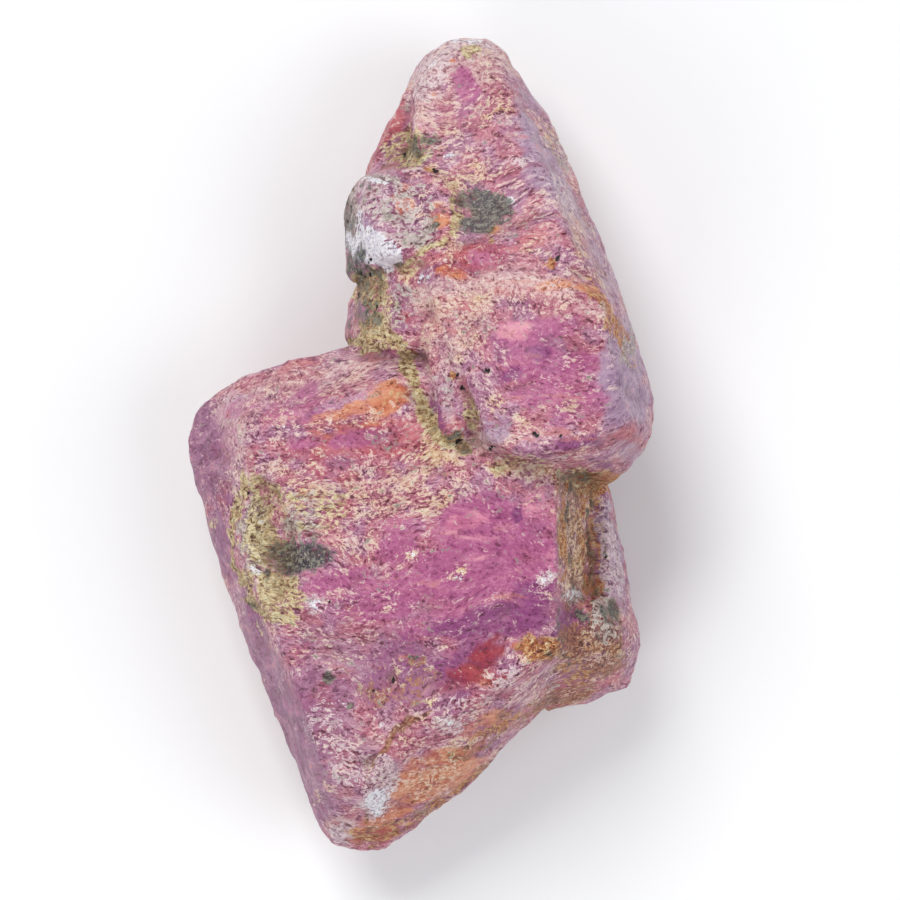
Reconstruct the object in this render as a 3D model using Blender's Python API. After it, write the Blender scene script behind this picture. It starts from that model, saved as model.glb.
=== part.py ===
"""Raw ruby crystal: a worn cluster of corundum crystals grown together, lying on its back.

Units are metres and +Z is up. The face of the stone looks up, +Y runs towards the point of the tall
crystal, and the flattened back rests on Z = 0. The origin is the centre of the stone's footprint box.
"""

import math

import bmesh
import bpy
from mathutils import Matrix, Vector, noise

MM = 0.001

# Driving dimensions of the whole stone
LENGTH = 78.0 * MM
WIDTH = 44.4 * MM
RESTING_PLANE_Z = 0.0
CUTTER_SIZE = 200.0 * MM
TRIANGLE_BUDGET = 9800

# Weathering: how far the surface wanders from the flat crystal faces
GRAIN_OF_MESH = 0.42 * MM
ROUNDING_PASSES = 3
ROUNDING_STRENGTH = 0.5
SETTLING_PASSES = 1
SHARP_EDGE_ANGLE = math.radians(40.0)
HOLLOW_SUBDIVISIONS = 3
UNDULATION = {"spacing": 9.0 * MM, "height": 0.45 * MM, "smoothness": 1.0, "step": 2.0, "octaves": 2}
HACKLE = {
    "spacing": 3.2 * MM, "height": 0.20 * MM, "smoothness": 0.9, "step": 2.1, "octaves": 3, "offset": 1.0,
    "gain": 2.0, "middle": 1.1,
}
LEDGES = {"spacing": 4.4 * MM, "height": 0.16 * MM, "wander": 1.6}
LEDGE_DIRECTION = Vector((-0.26, 0.95, 0.12)).normalized()

# Where the stone stands in the photograph, in pixels of its 900 x 900 frame
OUTLINE_LEFT = 188
OUTLINE_RIGHT = 651
OUTLINE_TOP = 37
OUTLINE_BOTTOM = 852
PIXEL = LENGTH / (OUTLINE_BOTTOM - OUTLINE_TOP)
MIDDLE_ACROSS = (OUTLINE_LEFT + OUTLINE_RIGHT) / 2.0
MIDDLE_DOWN = (OUTLINE_TOP + OUTLINE_BOTTOM) / 2.0

# Corners of each crystal and lump: pixels across and down, read off the photograph by eye, and the
# height in millimetres, judged by eye. "front" corners bound the faces that look up, "girdle" corners
# give the outline seen from above, and "back" corners bound the faces that look down.
CRYSTALS = {
    "lower_crystal": {
        "front": [
            (252, 428, 19.6), (330, 402, 20.7), (450, 375, 21.9), (552, 440, 23.6), (552, 642, 23.0),
            (484, 692, 21.9), (388, 742, 20.4), (364, 780, 19.2), (330, 775, 18.6), (290, 665, 19.0),
            (255, 560, 19.0),
        ],
        "girdle": [
            (345, 346, 14.0), (290, 360, 13.5), (248, 380, 12.5), (215, 396, 11.5), (195, 415, 10.5),
            (187, 440, 10.0), (187, 460, 10.0), (194, 492, 9.5), (213, 545, 9.5), (248, 650, 9.0),
            (285, 748, 9.0), (314, 820, 9.0), (331, 847, 9.0), (358, 853, 9.0), (378, 853, 9.0),
            (398, 842, 9.5), (410, 828, 10.0), (470, 784, 10.0), (530, 720, 11.0), (592, 655, 11.0),
            (594, 560, 11.0), (594, 470, 11.0), (480, 345, 14.0),
        ],
        "back": [
            (250, 450, -1.5), (330, 405, -1.5), (480, 400, -1.5), (555, 470, -1.5), (555, 620, -1.2),
            (460, 720, -1.0), (390, 775, -0.8), (340, 760, -0.8), (272, 600, -1.5),
        ],
    },
    "right_rib": {
        "front": [(601, 470, 11.4), (603, 560, 13.4), (608, 600, 14.2), (600, 640, 14.6)],
        "girdle": [
            (608, 488, 7.5), (616, 534, 7.5), (622, 567, 7.5), (628, 596, 7.5), (635, 622, 7.5),
            (639, 640, 7.5), (639, 660, 7.5), (629, 692, 7.5), (591, 703, 8.0), (540, 714, 8.5),
            (545, 480, 9.0),
        ],
        "back": [
            (560, 500, 1.0), (600, 530, 1.0), (612, 640, 1.0), (585, 690, 1.5), (530, 700, 1.5),
        ],
    },
    "rib_lump": {
        "front": [
            (558, 600, 18.5), (592, 604, 18.0), (620, 632, 15.0), (590, 668, 16.0), (556, 652, 20.0),
        ],
        "girdle": [
            (556, 588, 11.0), (600, 586, 11.0), (630, 620, 10.0), (637, 645, 9.5), (620, 690, 9.5),
            (560, 709, 10.0), (520, 700, 11.0),
        ],
        "back": [(556, 600, 5.0), (610, 620, 5.0), (600, 690, 5.0), (540, 690, 5.0)],
    },
    "bevel_lump": {
        "front": [
            (407, 743, 18.8), (464, 715, 19.6), (509, 698, 18.2), (482, 748, 15.2), (438, 790, 13.4),
            (402, 796, 15.0),
        ],
        "girdle": [(405, 794, 8.0), (490, 740, 8.0), (534, 711, 9.0), (435, 732, 8.0)],
    },
    "upper_barrel": {
        "front": [
            (425, 282, 21.6), (470, 252, 23.2), (520, 234, 24.0), (553, 222, 23.8), (436, 308, 23.4),
            (500, 300, 26.6), (562, 297, 27.4), (598, 312, 26.4), (604, 350, 27.0), (610, 398, 27.2),
            (618, 426, 27.0), (594, 443, 28.4), (553, 456, 28.8), (510, 453, 28.2), (486, 440, 27.0),
            (474, 400, 25.6), (470, 346, 24.6),
        ],
        "girdle": [
            (622, 302, 15.5), (629, 327, 16.5), (635, 349, 17.0), (640, 378, 17.5), (648, 407, 18.0),
            (651, 430, 18.0), (647, 447, 17.0), (627, 476, 15.0), (608, 490, 13.0), (545, 472, 18.0),
            (470, 450, 18.0), (440, 340, 14.0),
        ],
        "back": [
            (460, 310, -0.6), (560, 295, -0.8), (600, 335, -0.6), (605, 420, 0.5), (560, 465, 1.0),
            (470, 440, 0.0),
        ],
    },
    "side_ledge": {
        "front": [
            (429, 332, 22.8), (462, 332, 24.4), (467, 400, 24.9), (465, 436, 24.5), (447, 443, 23.8),
            (435, 420, 23.5),
        ],
        "back": [
            (418, 330, 14.0), (475, 330, 14.0), (480, 450, 14.0), (440, 450, 14.0), (424, 420, 14.0),
        ],
    },
    "neck": {
        "front": [
            (376, 271, 16.4), (398, 265, 18.8), (432, 277, 21.4), (436, 348, 21.8), (392, 355, 19.2),
            (361, 344, 15.6), (362, 304, 15.2),
        ],
        "girdle": [
            (352, 292, 10.0), (346, 310, 9.5), (343, 335, 9.5), (350, 360, 10.0), (451, 360, 14.0),
            (451, 280, 12.0),
        ],
        "back": [(370, 292, 3.2), (370, 361, 3.2), (455, 361, 0.8), (455, 282, 0.8)],
    },
    "upper_point": {
        "front": [
            (450, 55, 13.8), (480, 58, 13.6), (502, 72, 14.2), (524, 138, 18.8), (545, 187, 21.2),
            (556, 222, 22.8), (563, 258, 24.2), (566, 295, 25.4), (430, 275, 22.0), (428, 230, 21.0),
            (420, 170, 18.8), (414, 130, 17.0), (422, 92, 15.2),
        ],
        "girdle": [
            (446, 40, 10.0), (460, 37, 10.0), (473, 38, 10.0), (491, 43, 10.0), (504, 54, 9.5),
            (424, 57, 10.0), (413, 69, 10.0), (407, 87, 10.0), (402, 130, 10.5), (398, 170, 11.0),
            (398, 230, 12.0), (405, 290, 13.0), (520, 78, 9.5), (535, 103, 10.0), (551, 132, 10.5),
            (567, 158, 11.0), (580, 190, 12.0), (593, 234, 13.0), (609, 266, 14.0), (622, 302, 15.0),
        ],
        "back": [
            (450, 58, 4.5), (482, 66, 4.5), (540, 150, 2.2), (578, 235, 0.8), (600, 300, 0.0),
            (430, 150, 2.5), (428, 240, 0.8), (440, 300, 0.0),
        ],
    },
    "left_nodule": {
        "front": [
            (372, 184, 18.8), (414, 173, 20.0), (440, 186, 21.0), (452, 214, 21.9), (446, 244, 22.4),
            (420, 262, 21.8), (386, 262, 20.6), (364, 240, 19.2), (360, 206, 18.6),
        ],
        "girdle": [
            (361, 180, 13.0), (347, 194, 12.0), (342, 212, 11.5), (342, 239, 11.5), (345, 261, 12.0),
            (345, 282, 12.5), (374, 290, 13.5), (410, 276, 16.0), (456, 242, 17.0), (458, 190, 17.0),
            (430, 168, 16.0), (395, 166, 14.0),
        ],
        "back": [
            (366, 200, 6.0), (362, 250, 6.0), (400, 275, 5.0), (440, 240, 5.0), (440, 180, 5.0),
        ],
    },
    "left_slab": {
        "front": [
            (404, 96, 12.6), (396, 116, 13.0), (387, 134, 13.2), (376, 152, 13.2), (370, 176, 13.2),
            (409, 178, 14.5), (420, 104, 13.0),
        ],
        "girdle": [
            (403, 98, 10.0), (396, 118, 10.0), (387, 136, 9.5), (374, 152, 9.0), (363, 171, 9.0),
            (363, 184, 9.0), (440, 184, 9.0), (436, 100, 9.0),
        ],
        "back": [
            (409, 111, 6.0), (397, 145, 5.0), (378, 165, 4.2), (376, 204, 3.6), (436, 106, 5.0),
            (440, 204, 2.0),
        ],
    },
}

# Hollows and pits: centre, half sizes and turn about Z, in millimetres and degrees
HOLLOWS = {
    "matrix_pocket": ((-14.4, -9.4, 20.2), (2.9, 7.2, 2.7), 8.0),
    "pit_under_nodule": ((-3.4, 14.6, 19.2), (1.1, 0.8, 1.1), 0.0),
    "pit_by_ledge_high": ((3.4, 6.4, 24.2), (0.6, 0.5, 1.1), 20.0),
    "pit_by_ledge_low": ((4.0, 4.8, 24.6), (0.5, 0.6, 1.2), 0.0),
    "hollow_by_ledge": ((4.8, 1.0, 24.8), (1.0, 1.5, 1.5), -20.0),
    "ridge_pit": ((12.9, 17.8, 24.8), (0.55, 0.5, 0.8), 0.0),
    "edge_hollow": ((12.0, -18.6, 23.8), (1.3, 1.6, 1.6), -35.0),
    "face_pit": ((-2.6, -22.0, 20.9), (0.6, 0.7, 1.3), 0.0),
    "tip_chip": ((-3.4, -37.6, 14.6), (3.0, 1.6, 3.4), 8.0),
    "barrel_groove": ((16.4, 14.6, 26.4), (5.0, 0.7, 1.6), -40.0),
    "groove_by_ledge": ((-1.3, 5.6, 22.6), (5.2, 0.9, 1.9), -62.0),
    "groove_under_lip": ((9.4, -2.6, 24.2), (4.6, 1.0, 1.5), -6.0),
    "groove_beside_ledge": ((4.6, 3.6, 25.2), (3.9, 0.6, 1.5), -72.0),
    "crack_of_bevel": ((-5.3, -31.0, 19.6), (3.8, 0.5, 1.3), 62.0),
}

STONE_COLOUR = (0.45, 0.23, 0.27, 1.0)
STONE_ROUGHNESS = 0.55


def clear_scene():
    for old in list(bpy.data.objects):
        bpy.data.objects.remove(old)


def mesh_object(name, shape):
    """Links a bmesh into the scene as an object and frees it."""
    mesh = bpy.data.meshes.new(name)
    shape.to_mesh(mesh)
    shape.free()
    made = bpy.data.objects.new(name, mesh)
    bpy.context.scene.collection.objects.link(made)
    return made


def corner_place(across, down, height):
    """Where a corner that was read off the photograph lies on the stone."""
    return Vector(((across - MIDDLE_ACROSS) * PIXEL, (MIDDLE_DOWN - down) * PIXEL, height * MM))


def crystal(name, corners):
    """A flat-faced block: the convex hull of its corner points."""
    shape = bmesh.new()
    for ring in corners.values():
        for corner in ring:
            shape.verts.new(corner_place(*corner))
    hull = bmesh.ops.convex_hull(shape, input=shape.verts)
    loose = [v for v in hull["geom_interior"] if isinstance(v, bmesh.types.BMVert)]
    bmesh.ops.delete(shape, geom=loose, context="VERTS")
    bmesh.ops.recalc_face_normals(shape, faces=shape.faces)
    return mesh_object(name, shape)


def hollow(name, centre, half_sizes, turn):
    """An ellipsoid that is cut out of the stone."""
    place = (
        Matrix.Translation(Vector(centre) * MM)
        @ Matrix.Rotation(math.radians(turn), 4, "Z")
        @ Matrix.Diagonal((*(Vector(half_sizes) * MM), 1.0))
    )
    shape = bmesh.new()
    bmesh.ops.create_icosphere(shape, subdivisions=HOLLOW_SUBDIVISIONS, radius=1.0, matrix=place)
    return mesh_object(name, shape)


def apply_modifier(stone, kind, **settings):
    """Adds one modifier and applies it."""
    modifier = stone.modifiers.new(kind.title(), kind)
    for name, value in settings.items():
        setattr(modifier, name, value)
    bpy.context.view_layer.objects.active = stone
    bpy.ops.object.modifier_apply(modifier=modifier.name)


def combine(stone, others, operation):
    for other in others:
        apply_modifier(stone, "BOOLEAN", operation=operation, object=other, solver="EXACT")
        bpy.data.objects.remove(other)


def surface_wander(point):
    """How far the worn surface stands above the flat crystal face at this point."""
    slow = noise.fractal(
        point / UNDULATION["spacing"], UNDULATION["smoothness"], UNDULATION["step"], UNDULATION["octaves"]
    )
    fast = noise.ridged_multi_fractal(
        point / HACKLE["spacing"], HACKLE["smoothness"], HACKLE["step"], HACKLE["octaves"], HACKLE["offset"],
        HACKLE["gain"],
    )
    along = point.dot(LEDGE_DIRECTION) / LEDGES["spacing"] + LEDGES["wander"] * slow
    ledge = abs(2.0 * (along - math.floor(along)) - 1.0) - 0.5
    hackle = HACKLE["height"] * (fast - HACKLE["middle"])
    return UNDULATION["height"] * slow + hackle + LEDGES["height"] * ledge


def weather(stone):
    """Wears the united crystals: fine even mesh, rounded edges, hackly surface."""
    apply_modifier(stone, "REMESH", mode="VOXEL", voxel_size=GRAIN_OF_MESH)
    apply_modifier(stone, "SMOOTH", factor=ROUNDING_STRENGTH, iterations=ROUNDING_PASSES)
    moved = [v.co + v.normal * surface_wander(v.co) for v in stone.data.vertices]
    for vertex, place in zip(stone.data.vertices, moved):
        vertex.co = place
    apply_modifier(stone, "SMOOTH", factor=ROUNDING_STRENGTH, iterations=SETTLING_PASSES)


def thin_out(stone):
    """Keeps few enough triangles, most of them where the surface turns."""
    stone.data.calc_loop_triangles()
    share = TRIANGLE_BUDGET / len(stone.data.loop_triangles)
    apply_modifier(stone, "DECIMATE", ratio=share, use_collapse_triangulate=True)


def flatten_back(stone):
    """Cuts the back off flat at the resting plane."""
    shape = bmesh.new()
    centre_z = RESTING_PLANE_Z - CUTTER_SIZE / 2.0
    bmesh.ops.create_cube(shape, size=CUTTER_SIZE, matrix=Matrix.Translation((0.0, 0.0, centre_z)))
    combine(stone, [mesh_object("back_cutter", shape)], "DIFFERENCE")


def fit_to_frame(stone):
    """Brings the stone to its stated length and width, centred on the origin and resting on Z = 0."""
    points = [v.co for v in stone.data.vertices]
    low = Vector([min(p[axis] for p in points) for axis in range(3)])
    high = Vector([max(p[axis] for p in points) for axis in range(3)])
    middle = (low + high) / 2.0
    stretch = Vector((WIDTH / (high.x - low.x), LENGTH / (high.y - low.y), 1.0, 1.0))
    to_origin = Matrix.Translation((-middle.x, -middle.y, -low.z))
    stone.data.transform(Matrix.Diagonal(stretch) @ to_origin)


def stone_material():
    material = bpy.data.materials.new("raw_ruby")
    material.use_nodes = True
    shader = material.node_tree.nodes["Principled BSDF"]
    shader.inputs["Base Color"].default_value = STONE_COLOUR
    shader.inputs["Roughness"].default_value = STONE_ROUGHNESS
    shader.inputs["Metallic"].default_value = 0.0
    return material


def build_stone():
    blocks = [crystal(name, corners) for name, corners in CRYSTALS.items()]
    stone = blocks[0]
    stone.name = "ruby_crystal"
    combine(stone, blocks[1:], "UNION")
    combine(stone, [hollow(name, *sizes) for name, sizes in HOLLOWS.items()], "DIFFERENCE")
    weather(stone)
    thin_out(stone)
    flatten_back(stone)
    fit_to_frame(stone)
    stone.data.materials.clear()
    stone.data.materials.append(stone_material())
    stone.data.shade_smooth()
    stone.data.set_sharp_from_angle(angle=SHARP_EDGE_ANGLE)


clear_scene()
build_stone()
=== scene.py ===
"""A raw ruby crystal with its surface dressed: fine relief, matrix, stains, clear windows and flecks."""

import math

import bpy
import numpy as np
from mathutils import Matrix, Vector, noise


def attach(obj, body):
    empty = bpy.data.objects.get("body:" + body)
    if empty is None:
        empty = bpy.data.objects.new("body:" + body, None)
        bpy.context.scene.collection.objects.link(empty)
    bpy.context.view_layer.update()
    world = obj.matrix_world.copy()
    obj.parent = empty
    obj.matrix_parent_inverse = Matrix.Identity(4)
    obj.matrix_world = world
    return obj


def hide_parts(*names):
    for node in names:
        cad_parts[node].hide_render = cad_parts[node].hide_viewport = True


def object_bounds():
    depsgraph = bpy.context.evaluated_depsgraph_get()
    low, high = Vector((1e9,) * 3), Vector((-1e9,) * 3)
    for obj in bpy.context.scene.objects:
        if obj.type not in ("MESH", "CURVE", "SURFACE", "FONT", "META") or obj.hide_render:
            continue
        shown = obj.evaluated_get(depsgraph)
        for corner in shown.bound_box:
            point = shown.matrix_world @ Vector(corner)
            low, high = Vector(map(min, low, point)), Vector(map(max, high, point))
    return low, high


MM = 0.001

# Picture frame: width of the view on the stone, where its middle lies, and the height of the camera
VIEW_WIDTH = 86.13 * MM
VIEW_SHIFT = (2.92 * MM, -0.53 * MM)
CAMERA_HEIGHT = 700.0 * MM
FOCUS_HEIGHT = 10.0 * MM
SENSOR_WIDTH = 36.0
CLIP_START = 0.01

# Studio lamps: place and side in metres, watts and colour
LAMPS = {
    "key_light": ((-0.45, 0.85, 1.10), 0.75, 13.0, (1.0, 0.99, 0.975)),
    "fill_light": ((0.95, -0.20, 1.00), 0.90, 6.0, (0.97, 0.98, 1.0)),
    "low_light": ((-0.60, -0.85, 0.75), 0.80, 4.2, (1.0, 1.0, 1.0)),
}
LAMP_AIM = Vector((0.0, 0.0, 0.012))
SKY_COLOUR = (0.97, 0.98, 1.0, 1.0)
SKY_STRENGTH = 0.40
FLOOR_SIDE = 6.0
FLOOR_SHADES = ((243, 244, 246), (247, 248, 249))

# Grain of the fine mesh, and the height over the floor below which its relief fades out
MESH_GRAIN = 0.32 * MM
KEEP_FLAT_BELOW = 1.2 * MM
WELD_DISTANCE = 1e-6
ROUNDING = 0.5
ROUNDING_PASSES = 3

# Direction in which the crystals grew, the spacing of their growth steps in millimetres, and the turn
# and stretch of the streaks along it
GROWTH_DIRECTION = np.array((-0.26, 0.95, 0.12))
GROWTH_SPACING = 1.5
GROWTH_TURN = (0.0, 0.0, math.radians(-26.0))
GRAIN_STRETCH = (0.75, 1.1, 1.0)
STREAK_STRETCH = (0.22, 0.85, 0.8)

# Heights and depths of the relief in millimetres
RELIEF = {
    "swell": 0.07, "hackle": 0.06, "fine_hackle": 0.070, "growth_steps": 0.04, "cream": 0.05, "frost": 0.04,
    "mica": 0.10, "olive": 0.22, "brown": 0.12, "black": 0.32,
}

# Noise on the mesh: spacing in millimetres, octaves, and where in the noise it starts
NOISES = {
    "swell": (2.6, 2, 21.0), "hackle": (1.25, 2, 7.0), "fine_hackle": (0.62, 1, 15.0),
    "growth_bend": (4.0, 2, 3.0), "olive_pits": (1.1, 2, 31.0), "brown_pits": (1.4, 2, 43.0),
    "edge_across": (3.2, 3, 11.0), "fray_across": (0.7, 2, 5.0), "edge_down": (3.2, 3, 37.0),
    "fray_down": (0.7, 2, 9.0), "tint": (2.3, 3, 91.0),
}

# How far the regions' edges wander across and down, and how far they fray, in millimetres
EDGE_WANDER = (0.85, 0.60)
EDGE_FRAY = 0.22

# Slow swirl of the streaks: spacing and reach in millimetres, octaves, and a start for each axis
SWIRL_SPACING = 11.0
SWIRL_REACH = 1.8
SWIRL_OCTAVES = 2
SWIRL_STARTS = (4.0, 71.0, 133.0)

# Painted shade in hollows: rounds of averaging that find narrow and wide hollows, their shares, and a
# threshold
NARROW_ROUNDS = 8
WIDE_ROUNDS = 60
NARROW_SHARE = 3.0
WIDE_SHARE = 2.2
HOLLOW_THRESHOLD = 0.1

# Patches on the faces that the photograph doesn't show: spacing in millimetres, and the noise values at
# which a patch begins and is whole
SCATTERED = {
    "window": (3.1, 0.10, 0.55), "mauve": (4.7, 0.02, 0.50), "cream": (3.4, 0.02, 0.60),
    "rose": (3.9, 0.20, 0.6), "brown": (4.4, 0.22, 0.60), "grey": (5.2, 0.26, 0.65),
    "olive": (3.6, 0.34, 0.70), "frost": (3.3, 0.16, 0.60), "peach": (4.1, 0.36, 0.70),
    "rust": (3.0, 0.34, 0.66), "lilac": (4.9, 0.16, 0.55), "mica": (2.8, 0.55, 0.75),
    "plum": (3.7, 0.3, 0.7),
}
SCATTER_OCTAVES = 3
SCATTER_START = 50.0
SCATTER_STEP = 13.0

# Share of its screen colours that the stone keeps under the studio light
STONE_DEPTH = 0.815

# Screen colours of each finish, from its darkest to its lightest
PALETTE = {
    "rosy": ((94, 38, 62), (150, 74, 100), (187, 106, 128), (208, 134, 150), (234, 188, 190)),
    "violet": ((88, 44, 74), (142, 82, 116), (176, 114, 146), (198, 142, 168), (228, 190, 206)),
    "pale": ((150, 86, 104), (186, 128, 140), (212, 162, 166), (234, 198, 194), (252, 234, 228)),
    "mauve": ((120, 64, 102), (158, 100, 138), (190, 136, 164)),
    "rose": ((148, 46, 66), (190, 82, 96), (214, 120, 124)),
    "lilac": ((140, 106, 144), (176, 144, 174), (206, 178, 200)),
    "window": ((124, 46, 96), (164, 74, 126), (190, 100, 148), (214, 140, 172)),
    "glow": ((200, 104, 146), (222, 134, 166), (240, 170, 186)),
    "plum": ((96, 32, 86), (136, 58, 118), (166, 88, 142)),
    "peach": ((186, 84, 54), (214, 122, 78), (236, 162, 118)),
    "red": ((118, 22, 44), (158, 44, 60), (190, 76, 80)),
    "brown": ((48, 24, 18), (104, 56, 40), (150, 92, 64), (190, 134, 94)),
    "frost": ((140, 92, 110), (180, 136, 150), (206, 172, 180), (238, 218, 222)),
    "peachy_flecks": ((136, 80, 84), (186, 126, 122), (212, 160, 148), (230, 188, 174), (248, 224, 212)),
    "ochre_flecks": ((112, 76, 54), (176, 128, 90), (210, 166, 116), (228, 192, 142), (246, 228, 192)),
    "rust": ((50, 24, 14), (122, 60, 34), (172, 96, 54), (200, 134, 86), (228, 188, 140)),
    "grey": ((54, 50, 50), (118, 106, 102), (174, 158, 152), (226, 214, 208)),
    "olive": ((38, 28, 18), (106, 84, 52), (170, 144, 94), (212, 190, 136), (240, 228, 188)),
    "white": ((180, 174, 196), (228, 224, 238), (254, 253, 255)),
    "mica": ((8, 16, 22), (22, 34, 40), (36, 48, 52), (58, 68, 68), (134, 132, 118)),
}
GLINT_COLOUR = (250, 232, 226)
# Painted shade in the gaps between grains
GAP_SHADE_COLOUR = (78, 42, 36)
# Painted shade in hollows, tinted like the olive-cream matrix in the creases
HOLLOW_SHADE_COLOUR = (112, 84, 58)
SPECK_COLOUR = (26, 22, 22)

# Regions inside the clear stone, from the deepest up: share of the ground that they take, what their
# colours follow, how streaked their edge is, and the values at which it begins and is whole
INLAYS = (
    ("pale", 0.8, "body", 1.6, 0.15, 0.85),
    ("mauve", 0.9, "drift", 2.0, 0.15, 0.85),
    ("rose", 0.9, "drift", 2.0, 0.15, 0.85),
    ("lilac", 0.9, "drift", 2.0, 0.15, 0.85),
    ("window", 0.95, "calm", 2.0, 0.15, 0.85),
    ("glow", 1.0, "drift", 2.0, 0.15, 0.85),
    ("plum", 0.85, "calm", 2.0, 0.15, 0.85),
    ("peach", 0.9, "drift", 2.0, 0.15, 0.85),
    ("red", 0.9, "drift", 2.4, 0.25, 1.15),
)

# Crusts on the stone: share of the ground that they take, what their colours follow, and how far their
# edge breaks up into grains
CRUSTS = {
    "brown": (0.88, "patchy", 0.6), "frost": (0.88, "light", 0.9), "rust": (0.9, "patchy", 0.6),
    "grey": (0.88, "patchy", 0.6), "olive": (1.0, "patchy", 0.6), "white": (0.9, "light", 0.6),
    "mica": (0.92, "light", 0.9),
}
CRUST_GAIN = 1.32
CRUST_LOSS = 0.38
CRUST_EDGE = (0.44, 0.58)
FLECK_EDGE = (0.45, 0.58)

# Clouds of noise in the finishes: scale, detail and roughness
CLOUDS = {
    "swirl": (1.8, 2.0, 0.6), "grain": (2.3, 3.0, 0.7), "lace": (1.9, 3.0, 0.7), "coast": (0.46, 6.0, 0.78),
    "shore": (0.7, 4.0, 0.75), "streak": (0.8, 4.0, 0.62), "glints": (4.4, 1.0, 0.5),
    "dents": (2.7, 2.0, 0.7), "floor": (6.0, 2.0, 0.5),
}

# Turn and shift of the clouds that would otherwise repeat each other
MOVES = {
    "grain": ((0.0, 0.0, 0.2), (7.0, 25.0, 3.0)),
    "lace": ((0.0, 0.0, 0.6), (17.0, 5.0, 3.0)),
    "shore": ((0.0, 0.0, 0.3), (3.0, 41.0, 9.0)),
}
CURL_REACH = 0.85

# Gloss of ruby, and the dents that its bump shows
RUBY_IOR = 1.55
RUBY_SPECULAR = 0.32
DENT_STRENGTH = 0.45
DENT_DEPTH = 0.2 * MM
FLOOR_ROUGHNESS = 0.8
FLOOR_SPECULAR = 0.2

# Where the stone stands in the photograph, in pixels of its 900 x 900 frame
OUTLINE_LEFT = 188
OUTLINE_RIGHT = 651
OUTLINE_TOP = 37
OUTLINE_BOTTOM = 852
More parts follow.
